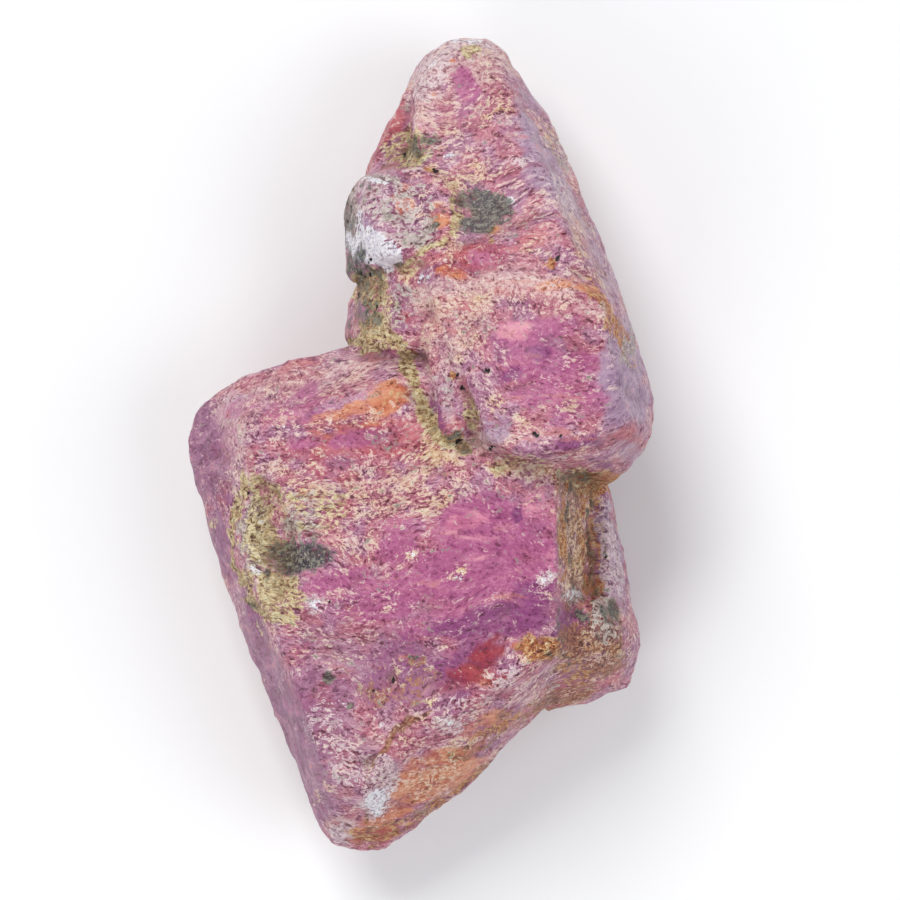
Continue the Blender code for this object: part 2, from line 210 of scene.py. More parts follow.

# Coloured regions of the upper side, read off the photograph, in its pixels and in degrees:
# middle across, middle down, half length, half width, turn, strength
REGIONS = {
    "window": [
        (470, 565, 72, 38, 15, 0.85), (525, 560, 30, 66, 0, 0.8), (390, 595, 48, 26, 15, 0.75),
        (440, 622, 52, 18, 18, 0.6), (338, 588, 38, 20, 15, 0.6), (575, 400, 30, 26, 5, 0.6),
        (540, 365, 44, 34, 10, 0.7), (300, 410, 40, 22, 12, 0.5), (465, 86, 13, 19, 0, 0.95),
        (462, 114, 8, 17, 0, 0.5), (525, 340, 36, 18, 12, 0.95), (542, 352, 20, 13, 10, 0.9),
        (513, 378, 16, 11, 15, 0.9), (533, 396, 26, 14, 8, 0.7), (581, 362, 20, 11, 5, 0.8),
        (480, 525, 48, 30, 12, 1), (488, 548, 36, 17, 8, 1), (400, 550, 24, 17, 10, 0.7),
        (340, 581, 32, 15, 12, 0.75), (310, 395, 15, 13, 0, 0.7), (357, 437, 27, 11, 8, 0.8),
        (305, 441, 18, 8, 6, 0.6), (370, 600, 30, 18, 10, 0.55), (430, 590, 30, 16, 12, 0.6),
        (250, 405, 22, 14, 30, 0.45), (400, 528, 26, 14, 0, 0.5), (455, 640, 20, 12, 20, 0.5),
        (232, 440, 12, 16, 0, 0.4), (420, 360, 12, 10, 0, 0.3), (492, 262, 24, 12, 8, 0.5),
        (568, 330, 16, 10, 10, 0.5), (300, 700, 22, 16, 30, 0.35), (560, 420, 20, 9, 5, 0.45),
        (500, 182, 12, 8, 0, 0.35), (388, 610, 18, 10, 10, 0.4), (355, 520, 14, 12, 0, 0.4),
        (335, 470, 20, 8, 0, 0.3),
    ],
    "glow": [
        (511, 335, 20, 9, 10, 0.9), (463, 522, 26, 8, 20, 0.9), (553, 520, 7, 18, 0, 0.6),
        (480, 535, 18, 5, 15, 0.5), (532, 505, 10, 20, 0, 0.5), (470, 560, 22, 5, 10, 0.35),
        (545, 560, 7, 16, 0, 0.5),
    ],
    "pale": [
        (470, 60, 46, 24, 0, 1), (432, 778, 40, 14, 28, 0.5), (452, 322, 34, 26, 12, 0.6),
        # The pale patch at 608, 548 lightens the right-facing strip that lies in shade: painted light
        # The pale patches at 470, 292, at 475, 295 and at 560, 288 are a painted highlight along the fold of
        # the upper crystal
        (608, 548, 12, 50, 6, 0.8), (602, 520, 8, 20, 0, 0.5), (470, 292, 74, 16, 8, 0.7),
        (585, 310, 40, 12, -20, 0.5), (470, 62, 44, 26, 0, 0.9), (430, 90, 14, 40, -15, 0.7),
        (505, 100, 20, 40, 25, 0.4), (475, 295, 64, 24, 12, 0.9), (560, 288, 44, 14, 10, 0.7),
        # The pale patches at 300, 385 and 232, 420 lighten the top bevel of the lower crystal, which faces
        # the light: painted light
        (450, 335, 26, 40, 10, 0.6), (300, 385, 90, 20, 16, 0.6), (232, 420, 24, 30, 20, 0.7),
        (240, 470, 20, 46, 10, 0.5), (395, 205, 34, 30, 0, 0.6), (548, 170, 20, 40, 25, 0.6),
        (570, 215, 16, 30, 20, 0.6), (345, 830, 20, 14, 0, 0.8), (545, 600, 10, 30, 0, 0.5),
        (490, 440, 26, 14, 0, 0.7), (440, 400, 14, 34, 8, 0.6), (350, 650, 40, 26, 10, 0.5),
        (400, 720, 40, 20, 20, 0.4), (262, 540, 18, 40, 8, 0.6), (620, 290, 10, 40, 15, 0.6),
        (400, 560, 30, 26, 0, 0.25), (345, 735, 30, 40, 20, 0.4), (320, 600, 16, 12, 0, 0.6),
        (530, 690, 30, 12, 20, 0.6), (600, 430, 26, 14, 10, 0.3),
    ],
    "plum": [
        (398, 668, 36, 18, 20, 0.4), (464, 662, 34, 18, 35, 0.85), (500, 620, 62, 14, 12, 0.9),
        (540, 600, 16, 26, -6, 0.7), (492, 618, 60, 15, 12, 1), (532, 596, 20, 24, 0, 0.7),
        (400, 645, 40, 11, 15, 0.5), (568, 628, 14, 26, -8, 0.8), (600, 560, 14, 30, 8, 0.4),
        (542, 350, 14, 9, 15, 0.7), (512, 378, 12, 8, 15, 0.8), (575, 446, 28, 6, 4, 0.8),
        (500, 617, 42, 12, 8, 1), (445, 663, 11, 9, 20, 0.9), (518, 511, 5, 9, -20, 1),
        (435, 417, 4, 17, 5, 0.9), (462, 690, 13, 8, 25, 0.5), (255, 612, 11, 14, 0, 0.7),
        (567, 628, 9, 24, -10, 0.9), (226, 505, 8, 18, 10, 0.6), (318, 412, 12, 6, 10, 0.4),
        (480, 640, 26, 7, 20, 0.6), (535, 585, 12, 16, -20, 0.5), (490, 497, 16, 7, 0, 0.35),
        (395, 135, 5, 34, -22, 0.4), (598, 466, 9, 5, 0, 0.6), (505, 150, 12, 9, 20, 0.35),
        (325, 560, 10, 6, 0, 0.3), (420, 655, 14, 7, 30, 0.4),
    ],
    "rose": [
        (450, 318, 34, 22, 12, 0.45), (520, 300, 40, 10, 8, 0.4), (350, 440, 60, 16, 6, 0.6),
        (345, 470, 50, 12, 6, 0.5), (376, 142, 12, 40, -25, 1), (455, 262, 30, 14, 5, 0.6),
        (410, 437, 58, 20, 10, 0.6), (475, 262, 46, 17, 10, 0.8), (345, 450, 46, 20, 6, 0.6),
        (430, 600, 30, 20, 15, 0.3), (575, 690, 40, 16, 10, 0.6), (378, 140, 9, 40, -25, 1),
        (470, 266, 40, 14, 8, 0.8), (363, 433, 30, 12, 8, 0.7), (305, 370, 30, 12, 15, 0.5),
        (380, 355, 16, 8, 10, 0.5), (622, 443, 22, 15, -30, 0.7), (581, 362, 16, 9, 0, 0.6),
        (355, 465, 22, 9, 6, 0.5), (405, 318, 8, 8, 0, 0.6), (330, 445, 22, 8, 5, 0.5),
        (268, 425, 18, 9, 10, 0.4), (530, 240, 16, 14, 0, 0.4), (352, 520, 8, 14, 20, 0.5),
        (350, 505, 7, 7, 0, 0.4),
    ],
    "mauve": [
        (400, 665, 46, 26, 20, 0.5), (606, 560, 10, 40, 6, 0.5), (380, 640, 70, 30, 12, 0.45),
        (440, 690, 40, 20, 20, 0.5), (590, 570, 10, 36, 6, 0.5), (395, 660, 60, 46, 15, 0.6),
        (330, 660, 40, 50, 15, 0.5), (300, 610, 24, 20, 10, 0.4), (400, 685, 48, 34, 20, 0.5),
        (345, 650, 40, 40, 15, 0.45), (212, 430, 22, 36, 8, 0.5), (395, 215, 44, 42, 0, 0.85),
        (300, 735, 34, 74, 20, 0.8), (330, 690, 20, 40, 20, 0.5), (285, 722, 28, 78, 18, 1),
        (262, 652, 17, 44, 15, 0.9), (330, 705, 22, 56, 20, 0.6), (210, 450, 22, 50, 8, 0.9),
        (207, 455, 18, 55, 8, 1), (222, 545, 14, 40, 16, 0.9), (255, 640, 14, 36, 20, 0.9),
        (285, 720, 22, 55, 20, 1), (312, 790, 22, 40, 22, 0.8), (377, 352, 20, 9, 10, 0.6),
        (400, 308, 14, 26, 10, 0.6), (232, 415, 16, 12, 30, 0.4), (575, 680, 20, 20, 0, 0.6),
        (352, 735, 18, 30, 20, 0.4), (612, 560, 12, 46, 8, 0.5), (300, 650, 14, 26, 15, 0.4),
    ],
    "lilac": [
        (380, 794, 18, 18, 0, 0.6), (606, 548, 10, 46, 6, 0.9), (625, 452, 20, 12, -30, 0.6),
        (607, 545, 12, 50, 6, 1), (385, 790, 16, 18, 0, 0.5), (619, 372, 22, 60, -12, 1),
        (540, 160, 18, 62, 24, 0.75), (596, 262, 14, 46, 20, 0.5), (608, 560, 12, 50, 6, 0.5),
        (526, 128, 12, 18, 25, 0.9), (533, 98, 10, 20, 30, 0.6), (545, 178, 20, 26, 25, 0.7),
        (570, 205, 14, 24, 25, 0.55), (626, 362, 14, 40, -8, 0.6), (630, 402, 16, 20, 0, 1),
        (612, 290, 8, 20, 0, 0.6), (608, 545, 13, 44, 8, 0.9), (620, 600, 9, 20, 10, 0.5),
        (496, 430, 14, 18, 10, 0.6), (442, 400, 12, 28, 5, 0.45), (365, 240, 16, 18, 0, 0.7),
        (545, 490, 8, 14, 0, 0.4), (340, 835, 14, 12, 0, 0.5), (390, 765, 14, 18, 15, 0.5),
        (236, 395, 12, 8, 35, 0.35),
    ],
    "frost": [
        # The frost patch at 608, 548 lightens the right-facing strip that lies in shade: painted light
        (468, 48, 34, 11, 0, 0.8), (376, 798, 16, 14, 0, 0.7), (608, 548, 11, 48, 6, 0.75),
        (470, 50, 34, 10, 0, 0.7), (560, 200, 10, 30, 25, 0.5), (380, 795, 16, 16, 0, 0.5),
        (385, 222, 40, 36, 0, 0.6), (368, 192, 26, 8, -10, 0.8), (430, 72, 18, 36, -20, 0.9),
        (372, 792, 18, 22, 0, 0.8), (412, 58, 14, 20, -20, 0.6), (262, 548, 8, 16, 0, 0.8),
        (258, 520, 6, 10, 0, 0.6), (300, 508, 8, 5, 40, 0.7), (330, 645, 42, 40, 10, 0.12),
        (322, 604, 14, 9, 0, 0.6), (370, 690, 36, 26, 10, 0.1), (432, 62, 9, 15, -20, 0.8),
        (468, 45, 30, 8, 0, 0.9), (417, 176, 13, 6, 0, 0.7), (386, 770, 14, 18, 15, 0.9),
        (450, 720, 15, 9, 20, 0.8), (345, 835, 15, 14, 0, 0.8), (540, 578, 10, 10, 0, 0.7),
        # The frost patch at 555, 288 is part of the painted highlight along the fold of the upper crystal
        (350, 760, 16, 26, 15, 0.5), (555, 288, 20, 8, 10, 0.5), (470, 700, 24, 12, 20, 0.4),
        (505, 672, 26, 12, 15, 0.5), (555, 665, 8, 14, 0, 0.4), (600, 640, 12, 12, 0, 0.3),
        (330, 720, 20, 24, 15, 0.4), (520, 165, 14, 8, 0, 0.4), (545, 690, 18, 10, 20, 0.3),
    ],
    "cream": [
        (434, 776, 44, 16, 28, 0.6), (436, 772, 44, 14, 28, 0.45), (440, 776, 40, 12, 28, 0.4),
        (392, 806, 20, 10, 20, 0.3), (345, 600, 30, 18, 10, 0.25), (350, 640, 30, 30, 10, 0.25),
        (300, 640, 10, 30, 18, 0.3), (420, 210, 18, 22, 0, 0.6), (395, 570, 14, 30, 10, 0.3),
        (360, 560, 20, 20, 0, 0.3), (290, 498, 30, 20, 20, 0.7), (316, 540, 18, 26, 0, 0.6),
        (262, 500, 10, 16, 0, 0.6), (262, 525, 8, 12, 0, 0.6), (330, 500, 30, 20, 0, 0.6),
        (493, 112, 18, 24, -20, 0.7), (478, 180, 28, 12, 5, 0.8), (402, 208, 11, 14, 0, 0.6),
        (452, 325, 38, 34, 10, 0.42), (405, 487, 64, 20, 3, 0.5), (308, 508, 30, 30, 0, 1),
        (499, 470, 10, 8, 0, 1), (520, 468, 36, 9, -3, 0.9), (494, 404, 12, 8, 0, 0.9),
        (565, 404, 11, 9, 20, 0.7), (516, 420, 8, 5, 0, 0.7), (320, 452, 10, 8, 0, 0.6),
        (460, 573, 13, 9, 20, 0.8), (413, 553, 8, 8, 0, 0.6), (394, 605, 9, 11, 0, 0.6),
        (395, 672, 11, 10, 0, 0.9), (431, 698, 8, 10, 0, 0.8), (459, 742, 20, 9, 15, 0.8),
        (518, 657, 12, 5, -20, 0.8), (275, 397, 22, 9, 15, 0.5), (580, 245, 12, 30, 25, 0.6),
        (556, 150, 10, 28, 25, 0.7), (532, 252, 10, 8, 0, 0.5), (570, 545, 16, 50, 5, 0.9),
        (590, 500, 16, 18, 0, 0.7), (528, 500, 11, 3, 20, 1), (289, 430, 18, 10, 10, 0.5),
        (365, 505, 24, 16, 0, 0.7), (500, 300, 50, 16, 8, 0.3), (347, 418, 40, 9, 10, 0.6),
        (440, 455, 30, 14, -8, 0.9), (430, 500, 28, 16, 10, 0.7), (300, 470, 30, 14, 0, 0.7),
        (388, 470, 30, 9, 0, 0.7), (340, 540, 16, 14, 0, 0.5), (345, 570, 18, 9, 10, 0.4),
        (372, 545, 9, 22, 0, 0.4), (410, 590, 10, 20, 0, 0.35), (230, 480, 10, 24, 0, 0.4),
        (330, 490, 14, 10, 0, 0.7), (480, 300, 30, 9, 10, 0.5), (602, 275, 9, 18, 20, 0.5),
        (425, 660, 12, 9, 10, 0.5), (445, 640, 10, 8, 0, 0.4), (395, 640, 12, 8, 0, 0.4),
        (420, 400, 8, 30, 10, 0.5), (462, 362, 9, 6, 0, 0.8), (605, 330, 9, 14, 20, 0.4),
        (560, 660, 14, 9, 20, 0.4), (330, 782, 5, 7, 20, 0.7), (315, 797, 4, 9, 10, 0.8),
        (450, 250, 12, 8, 20, 0.6), (588, 625, 10, 16, 10, 0.6), (440, 140, 18, 14, 0, 0.4),
        (480, 60, 14, 6, 0, 0.5),
    ],
    "peach": [
        (390, 400, 22, 14, 35, 1), (436, 774, 54, 20, 28, 0.9), (386, 402, 20, 13, 35, 1),
        (358, 412, 28, 8, 22, 0.6), (345, 427, 50, 8, 8, 0.5), (376, 834, 26, 10, 8, 0.9),
        (418, 776, 34, 20, 25, 0.7), (385, 812, 26, 14, 20, 0.7), (462, 757, 26, 12, 35, 0.6),
        (482, 722, 30, 12, 20, 0.5), (374, 410, 30, 12, 22, 0.5), (455, 275, 16, 9, 5, 0.6),
        (394, 396, 12, 9, 35, 0.9), (378, 404, 15, 8, 25, 0.6), (345, 418, 38, 8, 8, 0.45),
        (444, 272, 12, 8, 10, 0.8), (416, 777, 19, 14, 20, 0.8), (388, 811, 13, 9, 0, 0.8),
        (440, 218, 14, 14, 0, 0.7), (402, 206, 9, 13, 0, 0.7), (413, 82, 8, 15, -20, 0.5),
        (591, 582, 11, 10, 0, 0.8), (454, 60, 4, 3, 0, 0.9), (492, 233, 6, 4, 0, 0.9),
        # The peach patch at 555, 286 is part of the painted highlight along the fold of the upper crystal
        (555, 286, 22, 7, 10, 0.5), (255, 540, 8, 9, 0, 0.7), (590, 298, 24, 7, -35, 0.7),
        (520, 641, 12, 6, 15, 0.6), (487, 681, 11, 9, 0, 0.5), (470, 770, 26, 14, 25, 0.5),
        (612, 480, 12, 7, 30, 0.6), (500, 290, 30, 7, 8, 0.15), (430, 95, 6, 8, 0, 0.3),
    ],
    "red": [
        (472, 665, 36, 16, 38, 1), (470, 664, 30, 13, 38, 0.95), (490, 652, 20, 8, 50, 0.9),
        (462, 672, 30, 12, 38, 0.62), (374, 836, 24, 9, 6, 0.9), (465, 668, 20, 6, 38, 1),
        (488, 647, 18, 6, 58, 1), (498, 675, 15, 6, 25, 0.9), (478, 661, 14, 5, 45, 0.8),
        (376, 834, 26, 8, 8, 0.8), (548, 267, 5, 5, 0, 1), (452, 375, 4, 3, 0, 0.9),
        (379, 262, 2, 2.5, 0, 1), (370, 832, 12, 6, 10, 0.4), (432, 753, 4, 8, 30, 0.6),
        (412, 717, 6, 3, 30, 0.6),
    ],
    "brown": [
        (541, 645, 24, 18, 0, 1), (326, 516, 24, 24, 0, 0.5), (374, 838, 24, 8, 6, 0.7),
        (480, 738, 42, 10, 36, 0.7), (575, 655, 30, 32, 0, 0.55), (610, 632, 18, 24, 0, 0.6),
        (392, 682, 40, 22, 20, 0.35), (577, 640, 24, 26, 0, 0.6), (606, 626, 16, 24, 10, 0.6),
        (490, 733, 36, 9, 34, 0.6), (398, 682, 46, 26, 20, 0.5), (330, 640, 26, 16, 10, 0.3),
        (440, 470, 30, 10, 0, 0.3), (600, 650, 26, 30, 0, 0.85), (562, 698, 38, 14, 15, 0.8),
        (520, 720, 34, 10, 22, 0.5), (310, 525, 28, 24, 0, 0.6), (606, 622, 18, 28, 10, 0.92),
        (580, 640, 24, 26, 0, 0.85), (574, 600, 14, 16, 0, 0.5), (541, 644, 22, 16, 0, 1),
        (577, 660, 26, 34, 0, 0.7), (610, 636, 18, 20, 0, 0.45), (316, 508, 24, 20, 0, 0.4),
        (400, 398, 14, 8, 35, 0.4), (560, 700, 30, 10, 15, 0.5), (396, 672, 16, 13, 0, 0.5),
        (440, 690, 16, 8, 25, 0.4), (345, 668, 14, 9, 0, 0.3), (476, 742, 40, 7, 36, 0.7),
        (418, 822, 34, 5, 28, 0.7), (372, 842, 22, 6, 5, 0.7), (572, 545, 18, 52, 4, 0.95),
        (576, 482, 30, 16, 0, 1), (600, 478, 16, 12, 20, 0.7), (385, 836, 30, 7, 6, 0.35),
        (460, 790, 44, 6, 36, 0.7), (505, 716, 38, 10, 20, 0.6), (500, 752, 14, 9, 40, 0.6),
        (590, 300, 24, 6, -35, 0.7), (607, 640, 20, 14, 0, 0.5), (575, 672, 20, 16, 0, 0.6),
        (435, 175, 10, 5, -30, 0.6), (565, 702, 24, 7, 12, 0.4), (352, 315, 6, 16, 0, 0.4),
        (425, 238, 16, 9, 0, 0.5), (543, 132, 6, 10, 25, 0.3), (414, 370, 4, 26, 14, 0.7),
        (448, 440, 16, 6, 0, 0.7), (395, 148, 4, 26, -20, 0.6), (455, 750, 16, 6, 30, 0.5),
        (372, 820, 14, 5, -20, 0.4),
    ],
    "rust": [
        (541, 644, 22, 16, 0, 1), (392, 400, 14, 7, 35, 0.5), (365, 834, 20, 6, -8, 0.5),
        (378, 841, 26, 5, 5, 0.5), (402, 822, 18, 4, 12, 0.5), (611, 328, 48, 8, -64, 0.8),
        (590, 520, 16, 44, -4, 0.4), (492, 245, 5, 4, 0, 0.5), (541, 643, 17, 13, 0, 1),
        (548, 267, 6, 6, 0, 1), (452, 375, 6, 4, 0, 0.9), (574, 540, 17, 50, 4, 0.4),
        (590, 482, 26, 14, 0, 0.8), (385, 832, 32, 9, 6, 0.35), (590, 300, 24, 6, -35, 0.6),
        (500, 722, 40, 7, 22, 0.6), (455, 792, 30, 6, 34, 0.6), (572, 672, 18, 18, 0, 0.5),
        (600, 640, 20, 16, 0, 0.5), (435, 175, 8, 4, -30, 0.6), (492, 233, 5, 4, 0, 0.8),
        (271, 515, 6, 10, 0, 0.5), (448, 438, 16, 6, 0, 0.7),
    ],
    "grey": [
        (372, 300, 20, 30, 5, 0.6), (310, 522, 26, 24, 0, 0.65), (418, 152, 22, 18, 10, 0.7),
        (345, 225, 10, 40, 0, 0.6), (606, 622, 16, 22, 0, 0.6), (392, 214, 30, 30, 0, 0.5),
        (425, 205, 10, 30, 10, 0.5), (351, 215, 9, 46, 0, 1), (384, 183, 36, 6, -5, 0.8),
        (356, 262, 12, 16, 0, 0.7), (305, 505, 22, 16, 30, 0.7), (262, 545, 13, 34, 0, 0.9),
        (288, 590, 16, 16, 0, 0.5), (350, 225, 8, 44, 0, 0.8), (420, 150, 22, 18, 10, 0.7),
        (260, 530, 17, 42, 6, 1), (308, 520, 26, 22, 0, 0.6), (400, 305, 16, 26, 10, 0.5),
        # The grey strip at 628, 345 is a painted reflection: a grey rim along the right outline of the upper
        # crystal
        (573, 595, 11, 9, 0, 0.8), (608, 612, 14, 20, 15, 0.7), (628, 345, 8, 24, -10, 0.7),
        (372, 285, 20, 20, 0, 0.6), (420, 238, 18, 12, 0, 0.6), (578, 225, 9, 22, 25, 0.5),
        (556, 155, 8, 26, 25, 0.5), (442, 395, 14, 26, 5, 0.4), (465, 428, 16, 14, 0, 0.4),
        (452, 322, 14, 20, 10, 0.25), (395, 250, 22, 18, 0, 0.4), (277, 613, 13, 14, 0, 0.5),
        (407, 108, 6, 30, -15, 0.4), (600, 310, 6, 20, 0, 0.4), (375, 195, 22, 12, 0, 0.4),
        (488, 440, 10, 10, 0, 0.4),
    ],
    "olive": [
        (332, 506, 20, 22, 0, 0.55), (560, 470, 20, 6, 0, 0.4), (266, 535, 19, 58, 8, 0.72),
        (285, 598, 22, 26, 0, 0.75), (410, 150, 24, 24, 0, 0.75), (380, 318, 18, 34, 8, 0.6),
        (385, 347, 30, 5, 4, 0.9), (471, 53, 12, 6, 0, 0.9), (420, 152, 20, 14, 0, 0.45),
        (368, 290, 18, 22, 0, 0.9), (372, 325, 15, 18, 10, 0.9), (361, 340, 20, 6, 8, 0.9),
        (471, 415, 9, 16, 5, 0.8), (467, 450, 13, 9, 0, 0.8), (277, 588, 16, 22, 0, 1),
        (246, 575, 9, 9, 0, 0.8), (252, 600, 10, 7, 0, 0.8), (540, 642, 15, 12, 0, 0.5),
        (499, 470, 9, 8, 0, 0.7), (270, 498, 9, 16, 0, 0.6), (282, 545, 8, 26, 10, 0.7),
        (431, 696, 7, 10, 0, 0.6), (577, 478, 20, 12, 0, 0.6), (210, 520, 5, 9, 0, 0.6),
        (262, 480, 12, 7, -20, 0.8), (456, 232, 8, 12, 0, 0.8), (405, 268, 12, 6, 25, 0.7),
        (300, 500, 20, 12, 0, 0.4), (310, 530, 14, 9, 0, 0.4), (455, 750, 10, 5, 20, 0.4),
        (450, 442, 14, 7, 0, 0.8), (398, 150, 10, 14, 0, 0.4), (262, 630, 10, 10, 0, 0.5),
        (525, 462, 26, 6, 0, 0.5), (425, 250, 9, 5, 20, 0.4),
    ],
    "white": [
        (374, 797, 13, 11, 0, 0.9), (366, 252, 28, 13, -25, 1), (386, 262, 16, 12, 0, 1),
        (370, 248, 26, 12, -25, 0.95), (388, 257, 14, 16, 0, 1), (360, 232, 12, 16, 0, 0.7),
        (376, 186, 16, 4, -15, 0.7), (374, 800, 12, 8, 0, 0.8), (391, 259, 12, 12, 0, 1),
        (372, 244, 18, 14, -30, 0.7), (450, 161, 3, 4, 0, 0.8), (362, 228, 10, 10, 0, 0.5),
        (511, 207, 5, 10, 0, 0.8), (289, 430, 7, 4, 0, 0.6), (322, 604, 7, 5, 0, 0.6),
        (413, 553, 5, 5, 0, 0.7), (460, 573, 4, 3, 30, 0.6), (540, 577, 5, 4, 0, 0.6),
        (450, 718, 9, 6, 20, 0.5), (386, 790, 7, 9, 0, 0.6), (573, 594, 7, 5, 0, 0.8),
        (432, 64, 4, 9, -20, 0.6), (470, 42, 22, 3, 0, 0.6), (344, 703, 6, 4, 0, 0.6),
        (265, 515, 8, 10, 0, 0.4), (262, 565, 9, 10, 0, 0.5), (383, 722, 6, 4, 0, 0.4),
        (355, 670, 6, 4, 0, 0.3), (420, 282, 5, 4, 40, 0.8),
    ],
    "mica": [
        (304, 553, 28, 17, 0, 0.95), (484, 211, 25, 15, -8, 1), (304, 557, 22, 14, 0, 1),
        (484, 212, 24, 15, -8, 1), (298, 560, 25, 17, 0, 0.9), (420, 146, 18, 10, 20, 0.6),
        (366, 312, 13, 18, 0, 0.5), (612, 612, 6, 14, 10, 0.6), (585, 618, 5, 8, 0, 0.6),
        (478, 440, 8, 5, 0, 0.5), (577, 477, 18, 6, 0, 0.55), (352, 318, 4, 8, 0, 0.5),
        (368, 290, 12, 9, 0, 0.55), (416, 150, 10, 8, 0, 0.5), (470, 452, 10, 5, 0, 0.6),
        (575, 476, 14, 5, 0, 0.5), (548, 652, 5, 4, 0, 0.7), (304, 556, 22, 15, 0, 1),
        (486, 212, 26, 16, -8, 1), (346, 218, 8, 38, 0, 0.5), (366, 276, 14, 5, -10, 0.8),
        (351, 264, 9, 13, 0, 0.9), (340, 548, 4, 3, 0, 0.6), (254, 606, 5, 4, 0, 0.6),
        (347, 232, 3, 12, 0, 0.8), (352, 262, 5, 5, 0, 0.8), (376, 272, 4, 3, 0, 0.8),
        (366, 190, 3, 3, 0, 0.7), (389, 190, 3, 2, 0, 0.6), (484, 206, 22, 13, -8, 1),
        (304, 554, 20, 14, 0, 1), (486, 208, 27, 16, -8, 1), (476, 230, 16, 9, 0, 0.9),
        (485, 208, 25, 15, -8, 1), (478, 230, 13, 9, 0, 1), (304, 556, 14, 10, 0, 1),
        (299, 545, 12, 8, 0, 0.6), (329, 676, 6, 6, 0, 1), (270, 571, 4, 4, 0, 1),
        (577, 615, 5, 5, 0, 0.9), (434, 227, 4, 3, 0, 0.9), (351, 209, 3, 4, 0, 0.9),
        (602, 635, 3, 4, 0, 0.9), (352, 705, 3, 3, 0, 0.9), (399, 267, 3, 4, 0, 0.9),
        (361, 270, 5, 4, 0, 0.9), (405, 157, 2, 7, 10, 0.9), (450, 438, 10, 5, 0, 0.6),
        (604, 550, 3, 12, 0, 0.6), (362, 285, 5, 4, 0, 0.7), (375, 281, 4, 3, 0, 0.8),
        (349, 250, 3, 12, 0, 0.5), (345, 215, 3, 7, 0, 0.6), (415, 657, 4, 3, 0, 0.6),
        (412, 148, 6, 6, 0, 0.3),
    ],
    "black": [
        (356, 240, 1.4, 1.6, 0, 0.9), (350, 256, 1.4, 2, 0, 0.9), (366, 263, 1.6, 1.4, 0, 0.9),
        (374, 201, 1.2, 1.2, 0, 0.8), (360, 190, 1.3, 1.2, 0, 0.8), (347, 225, 1.2, 2, 0, 0.8),
        (382, 268, 1.4, 1.2, 0, 0.8), (555, 259, 3.4, 2.2, 40, 1), (458, 376, 4, 2.2, -10, 1),
        (461, 392, 3, 2.6, 0, 1), (488, 372, 3, 2.5, 0, 1), (533, 432, 3, 2.5, 0, 0.9),
        (490, 446, 2.5, 4, 0, 1), (557, 437, 3.5, 1.6, 0, 0.9), (394, 676, 2.2, 3.2, 0, 1),
        (357, 295, 2.8, 3, 0, 1), (370, 305, 3, 3.5, 0, 1), (364, 280, 3, 2.5, 0, 0.9),
        (360, 232, 1.8, 2, 0, 0.9), (245, 496, 1.8, 2.4, 0, 0.9), (509, 435, 1.2, 4, -30, 0.9),
        (634, 427, 2, 1.6, 0, 0.8), (404, 158, 1.3, 4, 10, 0.8), (352, 209, 2, 2.4, 0, 0.9),
        (415, 291, 2, 1.5, 0, 0.8), (375, 687, 2, 1.8, 0, 0.7), (461, 444, 5, 2.5, 0, 0.8),
        (604, 545, 1.5, 3, 0, 0.8), (606, 556, 1.4, 3, 0, 0.7), (561, 222, 1.6, 3, 0, 0.7),
        (440, 177, 4, 1.4, -35, 0.6), (334, 602, 1.4, 1.4, 0, 0.8), (540, 646, 3, 2, 30, 0.7),
        (532, 650, 2, 2.4, 0, 0.6), (350, 268, 1.5, 1.5, 0, 0.8), (380, 205, 1.2, 1.2, 0, 0.5),
    ],
}

# Cracks, seams and rims in the same pixels: points across and down, half width, strength
STREAKS = {
    "cream": [
        ([(435, 170), (447, 180), (460, 192), (467, 196)], 3, 0.9),
        ([(551, 470), (552, 540), (551, 600)], 1.8, 0.6),
        ([(440, 175), (455, 200), (457, 232), (430, 250), (400, 282)], 4, 0.7),
    ],
    "olive": [
        ([(377, 327), (395, 340), (405, 360), (415, 382), (420, 400), (428, 430), (436, 441)], 8, 1),
        ([(245, 474), (237, 505), (238, 542), (232, 562), (250, 582), (254, 600), (272, 615)], 4.5, 0.9),
        ([(258, 478), (276, 490), (290, 500), (306, 512)], 5, 0.7),
        ([(290, 585), (282, 566), (286, 540)], 5, 0.7),
        ([(455, 200), (457, 230), (448, 240), (430, 249), (416, 259), (402, 272)], 3.5, 0.8),
    ],
    "brown": [
        ([(574, 484), (572, 532), (575, 592)], 3, 0.9),
        ([(586, 488), (589, 540), (596, 600)], 3, 0.9),
        ([(300, 480), (322, 500), (338, 530)], 2, 0.6),
        (
            [
                (430, 712), (412, 717), (400, 727), (383, 749), (370, 765), (364, 780), (364, 803),
                (372, 818),
            ],
            3.2, 1,
        ),
        ([(374, 826), (400, 820), (416, 812), (448, 797), (470, 782), (486, 764)], 4, 0.7),
        ([(414, 352), (416, 372), (420, 398), (430, 432)], 2.2, 0.9),
        ([(345, 347), (362, 343), (380, 337)], 2, 0.8),
    ],
    "rust": [
        ([(566, 480), (562, 522), (560, 574)], 2, 0.9),
        ([(579, 486), (580, 532), (587, 592)], 1.8, 0.9),
        ([(591, 492), (596, 540), (604, 602)], 2, 0.8),
    ],
    "mica": [
        ([(571, 484), (569, 530), (571, 588)], 1.1, 0.7),
        ([(586, 488), (589, 540), (596, 600)], 1.1, 0.7),
        ([(556, 604), (562, 640), (572, 668)], 1.4, 0.6),
    ],
    "rose": [
        ([(403, 96), (395, 118), (384, 138), (368, 170)], 6, 0.5),
    ],
}

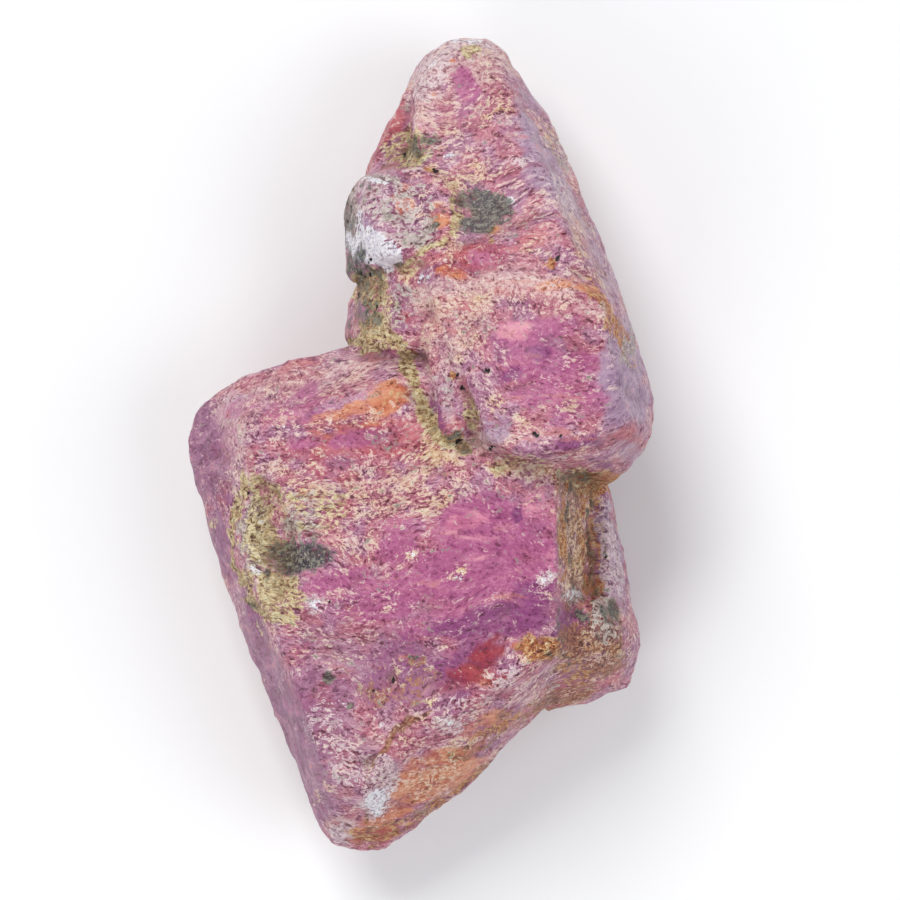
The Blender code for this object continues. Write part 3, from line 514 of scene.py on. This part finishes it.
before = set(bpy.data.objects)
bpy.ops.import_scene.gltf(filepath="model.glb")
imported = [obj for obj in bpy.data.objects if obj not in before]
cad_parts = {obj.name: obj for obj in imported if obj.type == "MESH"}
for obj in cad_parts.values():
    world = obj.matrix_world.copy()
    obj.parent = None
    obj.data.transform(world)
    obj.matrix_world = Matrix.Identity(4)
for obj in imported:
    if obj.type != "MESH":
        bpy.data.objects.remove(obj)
cad_low, cad_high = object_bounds()
pixel = (cad_high.y - cad_low.y) / (OUTLINE_BOTTOM - OUTLINE_TOP)


# The fine mesh of the stone


def numbers(mesh, attribute):
    """One row of three numbers a vertex, such as its place or its normal."""
    values = np.empty(len(mesh.vertices) * 3)
    mesh.vertices.foreach_get(attribute, values)
    return values.reshape(-1, 3)


def set_places(mesh, places):
    mesh.vertices.foreach_set("co", places.ravel())
    mesh.update()


def select_only(piece):
    bpy.ops.object.select_all(action="DESELECT")
    piece.select_set(True)
    bpy.context.view_layer.objects.active = piece


def apply_modifier(piece, kind, **settings):
    select_only(piece)
    modifier = piece.modifiers.new(kind.title(), kind)
    for name, value in settings.items():
        setattr(modifier, name, value)
    bpy.ops.object.modifier_apply(modifier=modifier.name)


def wander(points, spacing, octaves, start):
    """Smooth noise round zero: one value for each point, points and spacing in millimetres."""
    return np.array([noise.fractal(p, 1.0, 2.0, octaves) for p in (points / spacing + start).tolist()])


def ridges(points, spacing, octaves, start):
    """Sharp crests, from 0 to about 1, one value for each point."""
    return 1.0 - np.abs(wander(points, spacing, octaves, start)) * 2.4


def soft(values, low, high):
    """0 below low, 1 above high, and smooth between."""
    t = np.clip((values - low) / (high - low), 0.0, 1.0)
    return t * t * (3.0 - 2.0 * t)


def neighbour_mean(mesh, places, rounds):
    """The places after so many rounds of averaging each vertex with its neighbours."""
    ends = np.empty(len(mesh.edges) * 2, dtype=np.int64)
    mesh.edges.foreach_get("vertices", ends)
    a, b = ends[0::2], ends[1::2]
    count = len(places)
    around = np.bincount(a, minlength=count) + np.bincount(b, minlength=count)
    smooth = places.copy()
    for _ in range(rounds):
        total = np.empty_like(smooth)
        for axis in range(3):
            total[:, axis] = np.bincount(a, smooth[b, axis], count) + np.bincount(b, smooth[a, axis], count)
        smooth = 0.5 * smooth + 0.5 * total / around[:, None]
    return smooth


def on_picture(flat):
    """Where places in millimetres are seen in the photograph: pixels across and down."""
    middle = np.array(((OUTLINE_LEFT + OUTLINE_RIGHT) / 2.0, (OUTLINE_TOP + OUTLINE_BOTTOM) / 2.0))
    return middle + flat * np.array((1.0, -1.0)) * MM / pixel


def near_path(seen, path):
    """Distance of each point from a line through the path's points."""
    nearest = np.full(len(seen), np.inf)
    for start, end in zip(path[:-1], path[1:]):
        start, run = np.array(start), np.array(end) - np.array(start)
        along = np.clip((seen - start) @ run / (run @ run), 0.0, 1.0)
        nearest = np.minimum(nearest, np.linalg.norm(seen - start - along[:, None] * run, axis=1))
    return nearest


def faded(reach, strength):
    """Full strength well inside a reach of 1, and none well outside it."""
    return strength * soft(-reach, -1.4, -0.6)


def region_mask(seen, name):
    """How much each point belongs to the named kind of region, from 0 to 1."""
    mask = np.zeros(len(seen))
    for across, down, half_length, half_width, turn, strength in REGIONS.get(name, []):
        c, s = math.cos(math.radians(turn)), math.sin(math.radians(turn))
        dx, dy = seen[:, 0] - across, down - seen[:, 1]
        reach = np.hypot((dx * c + dy * s) / half_length, (dy * c - dx * s) / half_width)
        mask = np.maximum(mask, faded(reach, strength))
    for path, half_width, strength in STREAKS.get(name, []):
        mask = np.maximum(mask, faded(near_path(seen, path) / half_width, strength))
    return mask


def fine_stone():
    """A closed copy of the CAD stone with an even, fine mesh."""
    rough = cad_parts["ruby_crystal"]
    stone = bpy.data.objects.new("ruby_crystal_surface", rough.data.copy())
    bpy.context.scene.collection.objects.link(stone)
    select_only(stone)
    bpy.ops.object.mode_set(mode="EDIT")
    bpy.ops.mesh.select_all(action="SELECT")
    bpy.ops.mesh.remove_doubles(threshold=WELD_DISTANCE)
    bpy.ops.mesh.normals_make_consistent(inside=False)
    bpy.ops.object.mode_set(mode="OBJECT")
    apply_modifier(stone, "REMESH", mode="VOXEL", voxel_size=MESH_GRAIN)
    apply_modifier(stone, "SMOOTH", factor=ROUNDING, iterations=ROUNDING_PASSES)
    return stone


def region_masks(places, normals):
    """All masks of one mesh: the placed regions on the upper side, and scattered ones elsewhere."""
    flat = places[:, :2].copy()
    for axis, side in enumerate(("across", "down")):
        edge = EDGE_WANDER[axis] * wander(places, *NOISES["edge_" + side])
        flat[:, axis] += edge + EDGE_FRAY * wander(places, *NOISES["fray_" + side])
    seen = on_picture(flat)
    upper = soft(normals[:, 2], -0.25, 0.1)
    masks = {name: region_mask(seen, name) * upper for name in sorted(set(REGIONS) | set(STREAKS))}
    for number, (name, (spacing, low, high)) in enumerate(SCATTERED.items()):
        start = SCATTER_START + SCATTER_STEP * number
        patches = soft(wander(places, spacing, SCATTER_OCTAVES, start), low, high)
        masks[name] = np.maximum(masks[name], patches * (1.0 - upper))
    return masks


def strongest(masks, shares):
    """The largest of several masks, each times its share."""
    return np.maximum.reduce([share * masks[name] for name, share in shares.items()])


def carve(stone):
    """Gives the fine mesh its hackly grain, growth steps, pits and seams."""
    mesh = stone.data
    places = numbers(mesh, "co") / MM
    normals = numbers(mesh, "normal")
    masks = region_masks(places, normals)
    clear = strongest(masks, {"window": 1.0, "glow": 1.0, "mauve": 0.9, "lilac": 0.9, "rose": 0.7})
    coarse = strongest(masks, {"cream": 1.0, "grey": 1.0, "olive": 1.0, "brown": 0.8, "frost": 0.6})
    grain = 0.55 + 0.6 * coarse - 0.35 * clear
    growth = places @ GROWTH_DIRECTION / GROWTH_SPACING + 0.9 * wander(places, *NOISES["growth_bend"])
    steps = np.abs(2.0 * (growth - np.floor(growth)) - 1.0)
    height = RELIEF["swell"] * wander(places, *NOISES["swell"]) * (1.0 - 0.6 * clear)
    for name in ("hackle", "fine_hackle"):
        height += RELIEF[name] * grain * (ridges(places, *NOISES[name]) - 0.5)
    height += RELIEF["growth_steps"] * (steps - 0.5) * (1.0 - 0.9 * clear)
    height += RELIEF["cream"] * masks["cream"] + RELIEF["frost"] * masks["frost"]
    height -= RELIEF["mica"] * masks["mica"]
    height -= RELIEF["olive"] * masks["olive"] * soft(ridges(places, *NOISES["olive_pits"]), 0.3, 0.9)
    height -= RELIEF["brown"] * masks["brown"] * soft(ridges(places, *NOISES["brown_pits"]), 0.2, 0.9)
    height -= RELIEF["black"] * soft(masks["black"], 0.3, 0.9)
    height *= soft(places[:, 2], 0.05, KEEP_FLAT_BELOW / MM)
    places += normals * height[:, None]
    set_places(mesh, places * MM)
    return masks


def hollowness(mesh, places, normals, rounds):
    """How far each vertex lies below its surroundings, in millimetres."""
    return ((neighbour_mean(mesh, places, rounds) - places) * normals).sum(axis=1) / MM


def store(mesh, name, values):
    """Keeps one number, or one row of three, for each vertex under a name that the material reads."""
    values = np.ascontiguousarray(values, dtype=np.float32)
    if values.ndim == 1:
        mesh.attributes.new(name, "FLOAT", "POINT").data.foreach_set("value", values)
    else:
        mesh.attributes.new(name, "FLOAT_VECTOR", "POINT").data.foreach_set("vector", values.ravel())


def flow_of_growth(places):
    """Places in millimetres, swirled slowly so that streaks bend and turn across the stone."""
    swirl = [wander(places, SWIRL_SPACING, SWIRL_OCTAVES, start) for start in SWIRL_STARTS]
    return places + SWIRL_REACH * np.stack(swirl, axis=1)


# Materials: arithmetic on sockets adds Math nodes


def tone(colour, depth=1.0):
    """A colour given as screen values from 0 to 255, as linear light times a depth."""
    light = []
    for value in colour:
        v = value / 255.0
        light.append(depth * (v / 12.92 if v <= 0.04045 else ((v + 0.055) / 1.055) ** 2.4))
    return (*light, 1.0)


def swing(value, reach):
    """A value round one half, spread out to swing round zero."""
    return (value - 0.5) * reach


class Wire:
    """One output socket in a finish. Adding, taking away or multiplying wires adds Math nodes."""

    def __init__(self, finish, socket):
        self.finish = finish
        self.socket = socket

    def with_math(self, operation, first, second):
        return self.finish.node("ShaderNodeMath", {"operation": operation}, {0: first, 1: second})

    def __add__(self, other):
        return self.with_math("ADD", self, other)

    def __radd__(self, other):
        return self.with_math("ADD", other, self)

    def __sub__(self, other):
        return self.with_math("SUBTRACT", self, other)

    def __rsub__(self, other):
        return self.with_math("SUBTRACT", other, self)

    def __mul__(self, other):
        return self.with_math("MULTIPLY", self, other)

    def __rmul__(self, other):
        return self.with_math("MULTIPLY", other, self)

    def __abs__(self):
        return self.with_math("ABSOLUTE", self, 0.0)

    def limited(self):
        return self.finish.node("ShaderNodeClamp", {}, {"Value": self})


class Finish:
    """A procedural material under construction."""

    def __init__(self, name):
        self.material = bpy.data.materials.new(name)
        self.material.use_nodes = True
        self.tree = self.material.node_tree
        self.shader = self.tree.nodes["Principled BSDF"]

    def node(self, kind, settings, values, output=0):
        """Adds a node, sets its settings, then its sockets' values or links, and gives one output."""
        made = self.tree.nodes.new(kind)
        for name, setting in settings.items():
            if name == "stops":
                self.set_stops(made.color_ramp, setting)
            else:
                setattr(made, name, setting)
        for socket, value in values.items():
            self.feed(made.inputs[socket], value)
        return Wire(self, made.outputs[output])

    def set_stops(self, ramp, stops):
        while len(ramp.elements) < len(stops):
            ramp.elements.new(0.5)
        for element, (position, colour) in zip(ramp.elements, stops):
            element.position = position
            element.color = colour

    def feed(self, socket, value):
        if isinstance(value, Wire):
            self.tree.links.new(value.socket, socket)
        else:
            socket.default_value = value

    def mask(self, name):
        return self.node("ShaderNodeAttribute", {"attribute_name": name}, {}, "Fac")

    def flow(self):
        """Swirled place on the stone in millimetres."""
        return self.node("ShaderNodeAttribute", {"attribute_name": "flow"}, {}, "Vector")

    def mapped(self, place, turn, scale, shift=(0.0, 0.0, 0.0)):
        values = {"Vector": place, "Rotation": turn, "Scale": scale, "Location": shift}
        return self.node("ShaderNodeMapping", {}, values)

    def moved(self, place, name):
        """The place turned and shifted for the named cloud."""
        turn, shift = MOVES[name]
        return self.mapped(place, turn, (1.0, 1.0, 1.0), shift)

    def warped(self, place, cloud, reach):
        """The place pushed about by a noise colour."""
        centred = self.node("ShaderNodeVectorMath", {"operation": "SUBTRACT"}, {0: cloud, 1: (0.5, 0.5, 0.5)})
        push = self.node("ShaderNodeVectorMath", {"operation": "SCALE"}, {0: centred, "Scale": reach})
        return self.node("ShaderNodeVectorMath", {"operation": "ADD"}, {0: place, 1: push})

    def cloud(self, place, name, output=0):
        """The named cloud of noise at a place."""
        scale, detail, roughness = CLOUDS[name]
        values = {"Vector": place, "Scale": scale, "Detail": detail, "Roughness": roughness}
        return self.node("ShaderNodeTexNoise", {}, values, output)

    def curls(self, place, name):
        """Thin curling crests where the named cloud crosses its middle value, from 0 to 1."""
        return 1.0 - abs(self.cloud(place, name) * 2.0 - 1.0)

    def soft_step(self, value, low, high):
        """0 below low, 1 above high, and smooth between. Low may be the larger, for a step down."""
        values = {"Value": value, "From Min": low, "From Max": high}
        return self.node("ShaderNodeMapRange", {"interpolation_type": "SMOOTHSTEP"}, values)

    def mix(self, factor, first, second):
        return self.node("ShaderNodeMix", {"data_type": "RGBA"}, {0: factor, 6: first, 7: second}, 2)

    def ramp(self, value, name):
        """The colours of the named palette, spread evenly over values from 0 to 1."""
        colours = PALETTE[name]
        last = len(colours) - 1
        stops = [(number / last, tone(colour, STONE_DEPTH)) for number, colour in enumerate(colours)]
        return self.node("ShaderNodeValToRGB", {"stops": stops}, {0: value})


def ruby_finish():
    f = Finish("raw_ruby_crystal")
    along = f.mapped(f.flow(), GROWTH_TURN, GRAIN_STRETCH)
    curled = f.warped(along, f.cloud(along, "swirl", "Color"), CURL_REACH)
    grain = f.cloud(f.moved(curled, "grain"), "grain")
    lace = f.curls(f.moved(curled, "lace"), "lace")
    coast = swing(f.cloud(curled, "coast"), 3.9)
    shore = swing(f.cloud(f.moved(curled, "shore"), "shore"), 3.0)
    streak = f.cloud(f.mapped(f.flow(), GROWTH_TURN, STREAK_STRETCH), "streak")
    light = swing(grain, 3.2) + (lace - 0.8) * 2.4 + 0.5
    drift = swing(streak, 2.6) + swing(light, 0.25) + 0.5
    readings = {
        "light": light,
        "drift": drift,
        "calm": swing(streak, 1.3) + swing(light, 0.40) + 0.5,
        "patchy": light * 0.8 + shore * 0.22 + 0.1,
        "body": light * 0.5 + drift * 0.5,
    }
    tint = f.mask("tint")

    def crust(name):
        """How far the named crust covers the stone. Its edge breaks up into single grains."""
        reach = f.mask(name) * CRUST_GAIN + shore + swing(light, CRUSTS[name][2]) - CRUST_LOSS
        return f.soft_step(reach, *CRUST_EDGE)

    def laid(name, cover, under):
        """The named crust laid over what is under it."""
        share, reading, _ = CRUSTS[name]
        return f.mix(cover * share, under, f.ramp(readings[reading], name))

    # The clear stone under the crust
    rosy = f.ramp(readings["body"], "rosy")
    violet = f.ramp(readings["body"], "violet")
    ground = f.mix(f.soft_step(tint, 0.25, 0.8), rosy, violet)
    for name, share, reading, streaks, low, high in INLAYS:
        inside = f.soft_step(f.mask(name) + swing(streak, streaks), low, high)
        ground = f.mix(inside * share, ground, f.ramp(readings[reading], name))

    # Crusts on it, from stains to flecks
    ground = laid("brown", crust("brown"), ground)
    ground = laid("frost", crust("frost"), ground)
    clear = f.mask("peach") * 0.6
    for name in ("window", "lilac", "mauve", "plum", "red"):
        clear = clear + f.mask(name)
    clear = clear.limited() * 0.22
    cream = f.mask("cream")
    cover = cream * 0.56 - clear * 1.3 - 0.07
    flecks = f.soft_step(cover + coast + swing(light, 0.95), *FLECK_EDGE)
    ochre_share = (cream * 0.75 + (0.5 - tint) * 0.7).limited()
    fleck_colours = f.mix(ochre_share, f.ramp(light, "peachy_flecks"), f.ramp(light, "ochre_flecks"))
    ground = f.mix(flecks * (cream * 0.18 + 0.70), ground, fleck_colours)
    rust = crust("rust")
    ground = laid("rust", rust, ground)
    grey = crust("grey")
    ground = laid("grey", grey, ground)
    olive = crust("olive")
    ground = laid("olive", (olive * (grain * 0.9 + 0.42)).limited(), ground)
    ground = laid("white", crust("white"), ground)
    ground = laid("mica", crust("mica"), ground)

    # Glints, painted shade in the gaps between grains, painted shade in hollows, and black specks
    glints = f.soft_step(f.cloud(curled, "glints"), 0.68, 0.74) * (0.5 - clear * 2.4)
    ground = f.mix(glints.limited(), ground, tone(GLINT_COLOUR, STONE_DEPTH))
    # Painted shade in the gaps between grains, where the grain noise is dark
    gap_shade = f.soft_step(light, 0.46, 0.0) * (1.0 - f.mask("window") * 0.5) * 0.68
    ground = f.mix(gap_shade, ground, tone(GAP_SHADE_COLOUR))
    # Painted shade in hollows, tinted like the olive-cream matrix in the creases
    ground = f.mix(f.mask("cavity") * 0.5, ground, tone(HOLLOW_SHADE_COLOUR))
    black = f.soft_step(f.mask("black") + swing(light, 0.2), 0.42, 0.55)
    ground = f.mix(black, ground, tone(SPECK_COLOUR))
    f.feed(f.shader.inputs["Base Color"], ground)

    rough = 0.36 + (flecks + olive + grey + rust).limited() * 0.34 + light * 0.08
    f.feed(f.shader.inputs["Roughness"], rough.limited())
    dents = f.cloud(along, "dents") * (1.0 - f.mask("window") * 0.6)
    bump = f.node("ShaderNodeBump", {}, {"Strength": DENT_STRENGTH, "Distance": DENT_DEPTH, "Height": dents})
    f.feed(f.shader.inputs["Normal"], bump)
    f.shader.inputs["IOR"].default_value = RUBY_IOR
    f.shader.inputs["Specular IOR Level"].default_value = RUBY_SPECULAR
    return f.material


def floor_finish():
    f = Finish("pale_floor")
    place = f.node("ShaderNodeTexCoord", {}, {}, "Object")
    dark, pale = FLOOR_SHADES
    shade = f.mix(f.cloud(place, "floor"), tone(dark), tone(pale))
    f.feed(f.shader.inputs["Base Color"], shade)
    f.shader.inputs["Roughness"].default_value = FLOOR_ROUGHNESS
    f.shader.inputs["Specular IOR Level"].default_value = FLOOR_SPECULAR
    return f.material


def dress_stone():
    stone = fine_stone()
    mesh = stone.data
    masks = carve(stone)
    places = numbers(mesh, "co")
    normals = numbers(mesh, "normal")
    narrow = hollowness(mesh, places, normals, NARROW_ROUNDS)
    wide = hollowness(mesh, places, normals, WIDE_ROUNDS)
    # How deep each vertex lies in a hollow, for the painted shade there
    masks["cavity"] = np.clip(narrow * NARROW_SHARE + wide * WIDE_SHARE - HOLLOW_THRESHOLD, 0.0, 1.0)
    for name, values in masks.items():
        store(mesh, name, values)
    store(mesh, "flow", flow_of_growth(places / MM))
    store(mesh, "tint", 0.5 + 0.9 * wander(places / MM, *NOISES["tint"]))
    mesh.materials.clear()
    mesh.materials.append(ruby_finish())
    mesh.shade_smooth()
    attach(stone, "root")
    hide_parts("ruby_crystal")


# The studio


def lay_floor():
    bpy.ops.object.select_all(action="DESELECT")
    bpy.ops.mesh.primitive_plane_add(size=FLOOR_SIDE, location=(0.0, 0.0, 0.0))
    floor = bpy.context.active_object
    floor.name = "floor"
    floor.data.materials.append(floor_finish())


def soft_light(name, place, side, watts, colour):
    """A square lamp that faces the stone."""
    lamp = bpy.data.lights.new(name, "AREA")
    lamp.size = side
    lamp.energy = watts
    lamp.color = colour
    holder = bpy.data.objects.new(name, lamp)
    holder.location = place
    aim = LAMP_AIM - holder.location
    holder.rotation_mode = "QUATERNION"
    holder.rotation_quaternion = aim.to_track_quat("-Z", "Y")
    bpy.context.scene.collection.objects.link(holder)


def light_stone():
    for name, lamp in LAMPS.items():
        soft_light(name, *lamp)
    world = bpy.data.worlds.new("studio")
    bpy.context.scene.world = world
    world.use_nodes = True
    sky = world.node_tree.nodes["Background"]
    sky.inputs["Color"].default_value = SKY_COLOUR
    sky.inputs["Strength"].default_value = SKY_STRENGTH


def set_camera():
    centre = (cad_low + cad_high) / 2.0
    lens = bpy.data.cameras.new("camera")
    lens.sensor_width = SENSOR_WIDTH
    lens.lens = SENSOR_WIDTH * (CAMERA_HEIGHT - FOCUS_HEIGHT) / VIEW_WIDTH
    lens.clip_start = CLIP_START
    camera = bpy.data.objects.new("camera", lens)
    camera.location = (centre.x + VIEW_SHIFT[0], centre.y + VIEW_SHIFT[1], CAMERA_HEIGHT)
    bpy.context.scene.collection.objects.link(camera)
    bpy.context.scene.camera = camera
    bpy.context.scene.view_settings.view_transform = "Standard"


set_camera()
light_stone()
lay_floor()
dress_stone()
